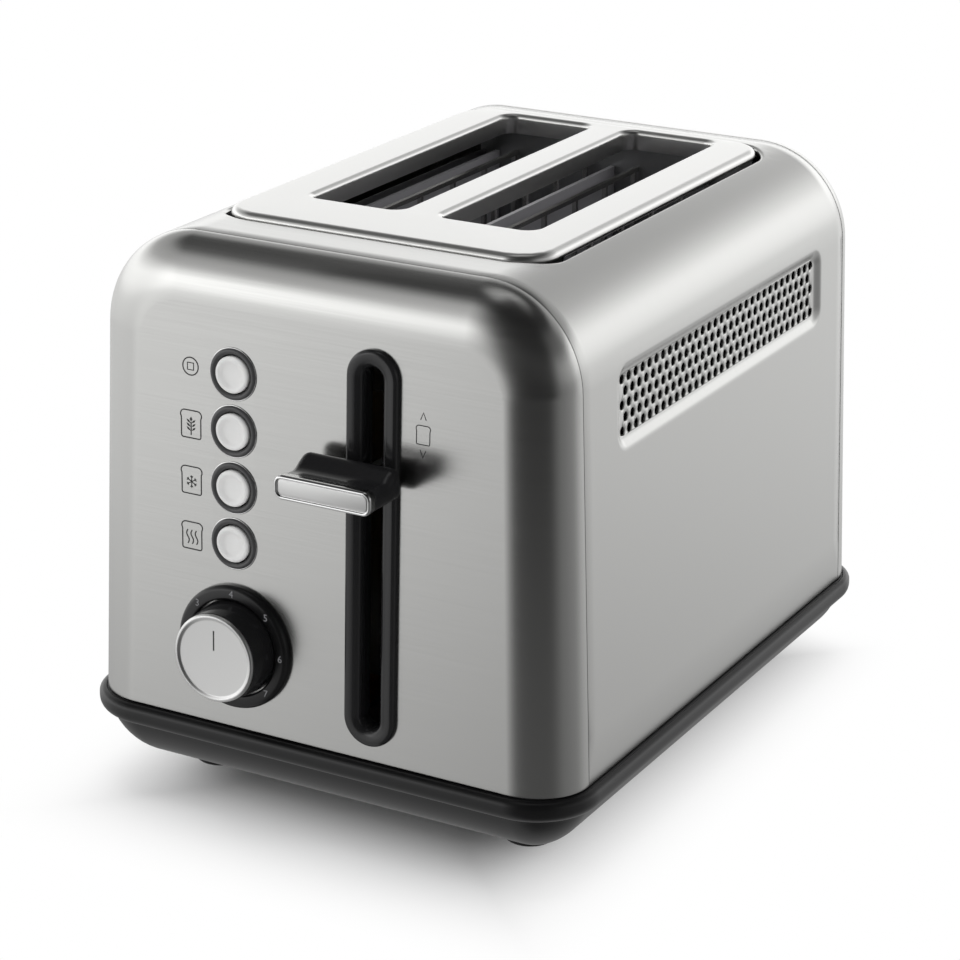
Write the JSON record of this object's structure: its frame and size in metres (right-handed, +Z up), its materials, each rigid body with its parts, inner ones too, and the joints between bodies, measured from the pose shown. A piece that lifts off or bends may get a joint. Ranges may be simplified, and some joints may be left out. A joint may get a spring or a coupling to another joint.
{
  "type": "two-slice toaster",
  "caption": "Toaster with a brushed steel body, side lever, push buttons, browning dial, bread slots and a crumb tray.",
  "frame": {"origin": "on the table under the middle of the overall box", "axes": "+Z up, -Y is the front with the lever and dial, +X is the right side seen from the front"},
  "size_m": [0.1914, 0.2674, 0.199],
  "materials": {
    "brushed_steel": "brushed",
    "satin_plate": "satin",
    "satin_metal": "satin",
    "zinc_steel": "zinc plated",
    "plated_wire": "bright plated",
    "black_plastic": "fine grained",
    "gloss_black": "polished",
    "ring_grey": "satin",
    "button_silver": "satin lacquer",
    "foot_rubber": "matte",
    "gland_rubber": "matte",
    "mica_board": "layered mineral sheet",
    "heating_ribbon": "oxidised ribbon",
    "core_iron": "bare",
    "copper_winding": "enamelled wire",
    "nylon": "moulded",
    "circuit_board": "laminate",
    "switch_black": "moulded",
    "terminal_white": "moulded"
  },
  "bodies": {
    "housing": {"cover": "brushed_steel", "front_panel": "brushed_steel", "rear_panel": "brushed_steel", "top_plate": "satin_plate", "base_tub": "black_plastic", "feet": "foot_rubber", "base_screws": "zinc_steel", "cord_gland": "gland_rubber", "chassis_plate": "zinc_steel", "front_bulkhead": "zinc_steel", "rear_bulkhead": "zinc_steel", "heater_centre": "mica_board", "heater_left": "mica_board", "heater_right": "mica_board", "heater_windings": "heating_ribbon", "side_reflector_left": "zinc_steel", "side_reflector_right": "zinc_steel", "guide_rod": "plated_wire", "guide_bracket": "zinc_steel", "magnet_core": "core_iron", "magnet_coil": "copper_winding", "lift_spring": "plated_wire", "slot_bezel": "gloss_black", "button_rings": "ring_grey", "dial_ring": "black_plastic", "control_board": "circuit_board", "button_switches": "switch_black", "board_posts": "switch_black", "dial_potentiometer": "switch_black", "terminal_block": "terminal_white"},
    "carriage": {"lever_body": "gloss_black", "lever_cap": "satin_metal", "lever_stem": "zinc_steel", "carriage_plate": "zinc_steel", "bread_support_left": "plated_wire", "bread_support_right": "plated_wire", "carriage_bush": "nylon", "armature_plate": "core_iron"},
    "tray": {"crumb_tray_pan": "zinc_steel", "crumb_tray_front": "black_plastic"},
    "knob": {"knob_body": "black_plastic", "knob_cap": "satin_metal", "knob_shaft": "switch_black"},
    "stop": {"stop_button": "button_silver"},
    "grain": {"grain_button": "button_silver"},
    "defrost": {"defrost_button": "button_silver"},
    "reheat": {"reheat_button": "button_silver"},
    "guard_left_a": {"bread_guard_left_a": "plated_wire"},
    "guard_left_b": {"bread_guard_left_b": "plated_wire"},
    "guard_right_a": {"bread_guard_right_a": "plated_wire"},
    "guard_right_b": {"bread_guard_right_b": "plated_wire"}
  },
  "joints": [
    {"name": "lever_slide", "type": "slide", "parent": "housing", "child": "carriage", "axis": [0, 0, 1], "range_m": [-0.078, 0.024], "stiffness_N_per_m": 150, "deforming": ["lift_spring"]},
    {"name": "crumb_tray_slide", "type": "slide", "parent": "housing", "child": "tray", "axis": [0, 1, 0], "range_m": [0, 0.16]},
    {"name": "browning_turn", "type": "hinge", "parent": "housing", "child": "knob", "pos_m": [-0.0304, -0.11172, 0.06259], "axis": [0, -0.9996, 0.0286], "range_deg": [-135, 135]},
    {"name": "stop_press", "type": "slide", "parent": "housing", "child": "stop", "axis": [0, 0.9996, -0.0286], "range_m": [0, 0.002], "stiffness_N_per_m": 400, "springref_m": -0.0005},
    {"name": "grain_press", "type": "slide", "parent": "housing", "child": "grain", "axis": [0, 0.9996, -0.0286], "range_m": [0, 0.002], "stiffness_N_per_m": 400, "springref_m": -0.0005},
    {"name": "defrost_press", "type": "slide", "parent": "housing", "child": "defrost", "axis": [0, 0.9996, -0.0286], "range_m": [0, 0.002], "stiffness_N_per_m": 400, "springref_m": -0.0005},
    {"name": "reheat_press", "type": "slide", "parent": "housing", "child": "reheat", "axis": [0, 0.9996, -0.0286], "range_m": [0, 0.002], "stiffness_N_per_m": 400, "springref_m": -0.0005},
    {"name": "guard_left_a_close", "type": "slide", "parent": "housing", "child": "guard_left_a", "axis": [1, 0, 0], "range_m": [-0.0016, 0.0051]},
    {"name": "guard_left_b_close", "type": "slide", "parent": "housing", "child": "guard_left_b", "axis": [-1, 0, 0], "range_m": [-0.0016, 0.0051]},
    {"name": "guard_right_a_close", "type": "slide", "parent": "housing", "child": "guard_right_a", "axis": [1, 0, 0], "range_m": [-0.0016, 0.0051]},
    {"name": "guard_right_b_close", "type": "slide", "parent": "housing", "child": "guard_right_b", "axis": [-1, 0, 0], "range_m": [-0.0016, 0.0051]}
  ],
  "couplings": [
    {"joint": "guard_left_a_close", "follows": "lever_slide", "ratio": -0.064103},
    {"joint": "guard_left_b_close", "follows": "lever_slide", "ratio": -0.064103},
    {"joint": "guard_right_a_close", "follows": "lever_slide", "ratio": -0.064103},
    {"joint": "guard_right_b_close", "follows": "lever_slide", "ratio": -0.064103}
  ]
}
